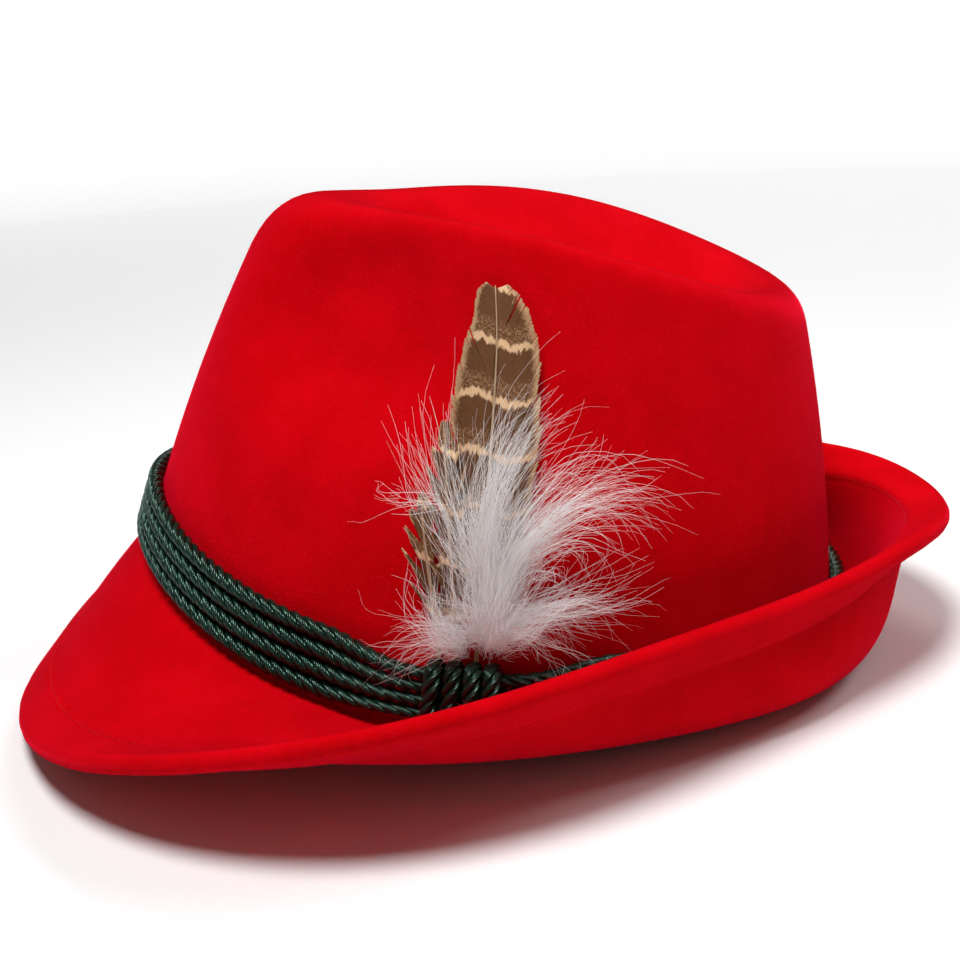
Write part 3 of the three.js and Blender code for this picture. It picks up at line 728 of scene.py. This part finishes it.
# Shaft and breadth of each feather, by height: shaft's place along the side, distance off the crown, and
# how far the vane reaches to the front and to the back of the shaft.
FEATHERS = {
    "feather_main": {
        "height": [24, 32, 42, 52, 62, 67, 73, 79, 84, 89, 94.5, 99.5, 102, 106.5, 109.6, 111.8],
        "shaft": [4.1, 4, 3.8, 3.6, 3.4, 3.3, 3.2, 3, 2.9, 2.7, 2.5, 2.1, 1.8, 1.2, 0.7, 0.4],
        "off": [1.6, 3, 3.6, 3.8, 3.8, 3.7, 3.6, 3.4, 3.3, 3.2, 3.1, 3, 3, 2.9, 2.9, 2.8],
        "front": [0.2, 2.5, 7, 9, 10, 10.2, 10.4, 11.2, 10.9, 10.3, 9, 7.9, 6.2, 5.6, 4.8, 2.4],
        "back": [0.2, 2.5, 8, 10, 11, 11.4, 12, 12.2, 11.7, 11, 11.2, 10.2, 9.6, 8, 6, 3],
    },
    "feather_side_1": {
        "height": [24, 31, 40, 50, 60, 70, 79.5],
        "shaft": [-1.5, -2, -3.2, -4.8, -6.4, -7.8, -8.8],
        "off": [1.6, 4.4, 5.6, 6, 6, 5.6, 5],
        "front": [0.2, 2, 4.6, 5.6, 5.2, 3.2, 0.5],
        "back": [0.2, 2, 4.6, 5.6, 5.4, 3.6, 0.6],
    },
    "feather_side_2": {
        "height": [24, 30, 38, 46, 54, 61],
        "shaft": [-6, -7, -9, -10.8, -12.4, -13.4],
        "off": [1.6, 2.8, 4, 4.6, 4.8, 4.6],
        "front": [0.2, 2, 4.2, 4.8, 3.2, 0.5],
        "back": [0.2, 2, 3.8, 4, 2.8, 0.5],
    },
}
NOTCH = {"feather_main": (108.9, 109.6, 0.75)}  # heights where the back vane is torn, and what is left of it
# A tattered vane parts into locks of barbs. Its breadth varies by this share from the mean within a lock.
TATTER = {"feather_main": 0.03, "feather_side_1": 0.4, "feather_side_2": 0.45}
LOCK_HEIGHT = 7.5
LOCK_OFFSET = 0.4  # of a lock, the other way on the other side
BARB = {
    "spacing": 0.31, "half": 0.33, "flat": 0.3, "sides": 4, "segments": 9, "thinning": 0.4,
    # how far the lowest root is below the vane's second station, and the highest below the feather's tip
    "below_vane": 4, "below_tip": 1.5,
    # a barb rises by slope for each millimetre of breadth that the vane has look_up above the barb's root,
    # but stays below the feather's tip by at least this share of its root's depth
    "slope": 1.25, "slope_stray": 0.02, "look_up": 6, "nearest_tip": 0.15,
    "rise_power": 1.15, "reach_power": 0.92, "stray": 0.008, "camber": 0.10, "camber_power": 1.1,
    "clump_slope": 0.06, "clump_off": 0.05,
}
STEM = {  # the shaft's mesh; its radii are at the foot, at the height where it starts to thin, and at the tip
    "foot": 8, "below_tip": 0.6, "points": 40, "sides": 8, "off": 0.25,
    "thins_from": 30, "radii": (0.75, 0.62, 0.14),
}


def build_feather(name, seed):
    table = FEATHERS[name]
    chance = np.random.default_rng(seed)

    def at(column, height):
        return np.interp(height, table["height"], table[column])

    low, high = table["height"][1] - BARB["below_vane"], table["height"][-1]
    t = np.linspace(0, 1, BARB["segments"] + 1)
    parts, uvs, edges = [], [], []
    for side, column in ((-1, "front"), (1, "back")):
        root = np.arange(low, high - BARB["below_tip"], BARB["spacing"])[:, None]
        # two slow waves that draw the barbs into clumps
        clump = np.sin(root * 1.3 + side) * 0.5 + np.sin(root * 0.47 + 2 * side) * 0.8
        stray = chance.normal(0, BARB["slope_stray"], root.shape)
        slope = BARB["slope"] + BARB["clump_slope"] * clump + stray
        tip = root + at(column, root + BARB["look_up"]) * slope
        tip = np.minimum(tip, high - (high - root) * BARB["nearest_tip"])
        lock = np.mod(root / LOCK_HEIGHT + LOCK_OFFSET * side, 1)
        breadth = at(column, tip) * (1 + chance.normal(0, BARB["stray"], root.shape))
        breadth *= 1 + TATTER[name] * (2 * lock - 1)
        if side > 0 and name in NOTCH:
            torn_from, torn_to, left = NOTCH[name]
            breadth = np.where((tip > torn_from) & (tip < torn_to), breadth * left, breadth)
        height = root + (tip - root) * t ** BARB["rise_power"]
        across = side * breadth * t ** BARB["reach_power"]
        camber = BARB["camber"] * np.abs(across) ** BARB["camber_power"]
        off = at("off", height) - camber + BARB["clump_off"] * clump
        path = plume_point(at("shaft", root) * (1 - t) + at("shaft", tip) * t + across, height, off)
        radii = BARB["half"] * (1 - BARB["thinning"] * t**4) * np.ones_like(root)
        parts.append(strands(path, radii, BARB["sides"], BARB["flat"], outward(90.0)))
        uvs.append(np.repeat(np.stack([across, height], -1).reshape(-1, 2), BARB["sides"], 0))
        edges.append(np.repeat(np.broadcast_to(t, height.shape).reshape(-1), BARB["sides"]))
    vertices, faces = join(parts)
    piece = make_piece(name + "_vane", lay_on_table(vertices), faces, VANE, [name])
    corner = np.zeros(len(piece.data.loops), np.int32)
    piece.data.loops.foreach_get("vertex_index", corner)
    uv = np.concatenate(uvs)[corner].astype(np.float32)
    piece.data.uv_layers.new(name="UVMap").data.foreach_set("uv", uv.ravel())
    edge = np.concatenate(edges).astype(np.float32)
    piece.data.attributes.new("edge", "FLOAT", "POINT").data.foreach_set("value", edge)
    height = np.linspace(STEM["foot"], high - STEM["below_tip"], STEM["points"])
    shaft = plume_point(at("shaft", height), height, at("off", height) + STEM["off"])[None]
    radius = np.interp(height, [STEM["foot"], STEM["thins_from"], high], STEM["radii"])[None]
    vertices, faces = strands(shaft, radius, STEM["sides"])
    make_piece(name + "_shaft", lay_on_table(vertices), faces, SHAFT)


# ---------------------------------------------------------------- fluff
# Sprays of down: strands, four guide points as (place along the length, height), and spread of the tips.
SPRAYS = [
    (120, (7, 33), (0, 58), (5, 80), (20, 85), 4.5),  # the tall curl that leans back
    (90, (8, 33), (3, 55), (8, 72), (17, 80), 4.5),
    (30, (8, 35), (2, 60), (4, 78), (9, 91), 3),
    (80, (7, 36), (0, 52), (-8, 68), (-14, 84), 4),  # up and forward
    (14, (6, 36), (-2, 52), (-12, 66), (-23, 83), 2),
    (110, (9, 38), (10, 60), (28, 76), (44, 54), 6),  # the fountain that falls back
    (30, (9, 40), (12, 60), (22, 70), (34, 80), 3),
    (30, (10, 38), (12, 58), (30, 66), (41, 66), 3),
    (12, (10, 36), (14, 62), (40, 70), (50, 32), 4),
    (24, (12, 38), (20, 58), (34, 56), (28, 42), 4),
    (50, (10, 29), (22, 38), (32, 38), (41, 27), 4.5),  # low, to the back
    (30, (10, 29), (20, 34), (26, 30), (30, 20), 4),
    (10, (11, 31), (26, 36), (40, 40), (54, 38), 4),
    (34, (12, 34), (24, 40), (32, 44), (40, 45), 4),
    (34, (5, 27), (-5, 30), (-13, 26), (-21, 18), 2.5),  # low, to the front, over the cords
    (6, (4, 28), (-8, 34), (-20, 22), (-14, 17), 2),
    (8, (3, 34), (-4, 38), (-12, 38), (-19, 37), 2.5),
    (8, (-6, 59), (-12, 60), (-17, 61), (-22, 61), 1.5),
    (170, (8, 26), (6, 40), (7, 52), (9, 64), 6),  # the dense heart
    (150, (8, 25), (10, 34), (12, 42), (15, 50), 6),
    (70, (6, 26), (2, 36), (0, 46), (-2, 56), 4),
    (80, (1, 24), (-3, 30), (-6, 38), (-9, 46), 3.5),  # over the quills of the small feathers
]
DOWN = {
    "segments": 12, "radius": 0.075, "thinning": 0.75, "thickness": (0.7, 1.3),
    "lock": 4, "drift_weights": (0.1, 0.45, 0.8, 1),  # strands in a lock, which drift apart towards the tip
    "stray": 1.5, "stray_weights": (0.8, 1.5, 2.2, 3),
    "shortest": 0.6,  # share of the curve that the shortest strands follow
    "wiggle": 1.2, "waves": (5, 14), "phases": (0, 6), "puff": 0.3, "own_puff": 0.1,
    "off_along": [4, 11, 12, 8],  # distance off the crown from root to tip
    "least_off": 3, "over_cords": 11, "cords_top": 26, "cords_fade": 4,
}
SIDE_HAIR = {
    "per_strand": 7, "spots": (0.02, 0.5), "length": (1.2, 4.0), "radius": 0.035, "taper": (1, 0.8, 0.4),
}


def spray_paths(count, guides, spread):
    """Curves that follow four guide points. Strands keep together in locks whose tips drift apart."""
    locks = max(1, count // DOWN["lock"])
    lock = rng.integers(locks, size=count)
    drift = rng.normal(0, spread, (locks, 2))[lock][:, None] * np.array(DOWN["drift_weights"])[:, None]
    stray = rng.normal(0, DOWN["stray"], (count, 4, 2)) * np.array(DOWN["stray_weights"])[:, None]
    guide = np.array(guides, float) + drift + stray
    reach = rng.uniform(DOWN["shortest"], 1, (count, 1))
    t = np.linspace(0, 1, DOWN["segments"] + 1) * reach
    weights = np.stack([(1 - t) ** 3, 3 * t * (1 - t) ** 2, 3 * t**2 * (1 - t), t**3], -1)
    along, height = np.moveaxis(weights @ guide, -1, 0)
    waves = rng.uniform(*DOWN["waves"], (count, 1))
    phase = rng.uniform(*DOWN["phases"], (count, 1))
    wave = DOWN["wiggle"] * t * np.sin(t * waves + phase)
    puff = rng.normal(1, DOWN["puff"], (locks, 1))[lock] + rng.normal(0, DOWN["own_puff"], (count, 1))
    off = np.interp(t, np.linspace(0, 1, 4), DOWN["off_along"]) * puff
    low = smooth((DOWN["cords_top"] - height) / DOWN["cords_fade"])
    least = DOWN["least_off"] + (DOWN["over_cords"] - DOWN["least_off"]) * low * smooth(t * 3)
    return plume_point(along + wave, height + wave, np.maximum(off, least))


def build_fluff():
    paths = np.concatenate([spray_paths(count, guides, spread) for count, *guides, spread in SPRAYS])
    t = np.linspace(0, 1, DOWN["segments"] + 1)
    radii = DOWN["radius"] * (1 - DOWN["thinning"] * t) * rng.uniform(*DOWN["thickness"], (len(paths), 1))
    vertices, faces = strands(paths, radii)
    make_piece("fluff_strands", lay_on_table(vertices), faces, WHITE, ["fluff"])
    # fine side hairs on the lower part of each strand
    which = np.repeat(np.arange(len(paths)), SIDE_HAIR["per_strand"])
    spot = rng.uniform(*SIDE_HAIR["spots"], len(which)) * DOWN["segments"]
    cell = spot.astype(int)
    share = (spot - cell)[:, None]
    start = paths[which, cell] * (1 - share) + paths[which, cell + 1] * share
    ahead = unit(paths[which, cell + 1] - paths[which, cell])
    side = unit(np.cross(ahead, rng.normal(size=ahead.shape)))
    length = rng.uniform(*SIDE_HAIR["length"], (len(which), 1))
    s = np.array([0, 0.5, 1])[:, None, None]
    path = start + side * length * s * (1 - 0.3 * s) + ahead * length * (0.5 * s + 0.5 * s**2)
    path = np.moveaxis(path, 0, 1)
    radius = np.broadcast_to(SIDE_HAIR["radius"] * np.array(SIDE_HAIR["taper"]), path.shape[:2])
    vertices, faces = strands(path, radius)
    make_piece("fluff_down", lay_on_table(vertices), faces, WHITE)


# ---------------------------------------------------------------- put together
FELT = felt_look()
NAP = nap_look()
THREAD = thread_look()
CORD = cord_look()
VANE = vane_look()
SHAFT = shaft_look()
WHITE = down_look()

build_felt()
build_fuzz("felt_nap_crown", 0, CROWN_COUNT)
build_fuzz("felt_nap_brim", CROWN_COUNT - 1, UNDER_BRIM_END)
build_stitches("hem_stitches_above", STITCH_ROW)
build_stitches("hem_stitches_below", UNDER_STITCH_ROW)
for row in range(BAND["rows"]):
    build_band_cord(row)
for turn in range(WRAP["turns"]):
    build_wrap_turn(turn)
for number, name in enumerate(FEATHERS):
    build_feather(name, FEATHER_SEED + number)
build_fluff()


# ---------------------------------------------------------------- floor, light and camera
def build_stage():
    """A pale floor, and round it a pale backdrop that sweeps up and gives the hat no light."""
    far = STAGE["floor_radius"]
    bend = np.radians(np.linspace(0, 90, STAGE["sweep_points"]))
    sweep_radii = far + STAGE["sweep"] * np.sin(bend)
    sweep_levels = STAGE["sweep"] * (1 - np.cos(bend))
    turn = np.linspace(0, 2 * np.pi, STAGE["sides"], endpoint=False)
    profiles = {
        "floor": ([0, far], [0, 0]),
        "backdrop": ([*sweep_radii, sweep_radii[-1]], [*sweep_levels, STAGE["top"]]),
    }
    for name, (radii, levels) in profiles.items():
        look = Look("pale_" + name, Base_Color=rgb(0.88, 0.88, 0.88), Roughness=0.9, Specular_IOR_Level=0.1,
                    Emission_Color=rgb(1, 1, 1))
        distance = look.node("VectorMath", {0: look.place()}, operation="LENGTH").outputs["Value"]
        glow = look.between(distance, far * STAGE["glow_from"], far * STAGE["glow_to"], to_high=STAGE["glow"])
        look.tree.links.new(glow, look.shader.inputs["Emission Strength"])
        rings = [np.stack([radius * np.cos(turn), radius * np.sin(turn), level + 0 * turn], 1)
                 for radius, level in zip(radii, levels)]
        faces = grid_faces(len(rings), len(turn))[:, ::-1].tolist()
        mesh = bpy.data.meshes.new(name)
        mesh.from_pydata(np.concatenate(rings).tolist(), [], faces)
        mesh.shade_smooth()
        mesh.materials.append(look.material)
        made = bpy.data.objects.new(name, mesh)
        bpy.context.scene.collection.objects.link(made)
        lit = name == "floor"  # the backdrop is only seen by the camera
        made.visible_diffuse = lit
        made.visible_glossy = lit
        made.visible_shadow = lit
    world = bpy.data.worlds.new("studio")
    bpy.context.scene.world = world
    world.use_nodes = True
    world.node_tree.nodes["Background"].inputs["Color"].default_value = rgb(1, 1, 1)
    world.node_tree.nodes["Background"].inputs["Strength"].default_value = STAGE["sky"]


def add_light(name, place, size, power):
    """A soft disk that faces the hat."""
    data = bpy.data.lights.new(name, "AREA")
    data.shape, data.size, data.energy = "DISK", size, power
    lamp = bpy.data.objects.new(name, data)
    bpy.context.scene.collection.objects.link(lamp)
    lamp.location = place
    lamp.rotation_euler = (Vector(HAT_MIDDLE) - Vector(place)).to_track_quat("-Z", "Y").to_euler()


def build_camera():
    data = bpy.data.cameras.new("camera")
    data.lens, data.sensor_width = CAMERA["lens"], CAMERA["sensor"]
    data.clip_start, data.clip_end = CLIP
    camera = bpy.data.objects.new("camera", data)
    bpy.context.scene.collection.objects.link(camera)
    azimuth, elevation, roll = (np.radians(CAMERA[key]) for key in ("azimuth", "elevation", "roll"))
    level = np.cos(elevation)
    back = Vector((np.sin(azimuth) * level, -np.cos(azimuth) * level, np.sin(elevation)))
    right = Vector((np.cos(azimuth), np.sin(azimuth), 0))
    up = back.cross(right)
    rolled_right = right * np.cos(roll) + up * np.sin(roll)
    rolled_up = back.cross(rolled_right)
    turn = Matrix((rolled_right, rolled_up, back)).transposed()
    place = (Vector(CAMERA_TARGET) + back * CAMERA["distance"]) * METRES
    camera.matrix_world = Matrix.Translation(place) @ turn.to_4x4()
    bpy.context.scene.camera = camera


build_stage()
for name, (place, size, power) in LIGHTS.items():
    add_light(name, place, size, power)
build_camera()
bpy.context.scene.view_settings.view_transform = "Standard"
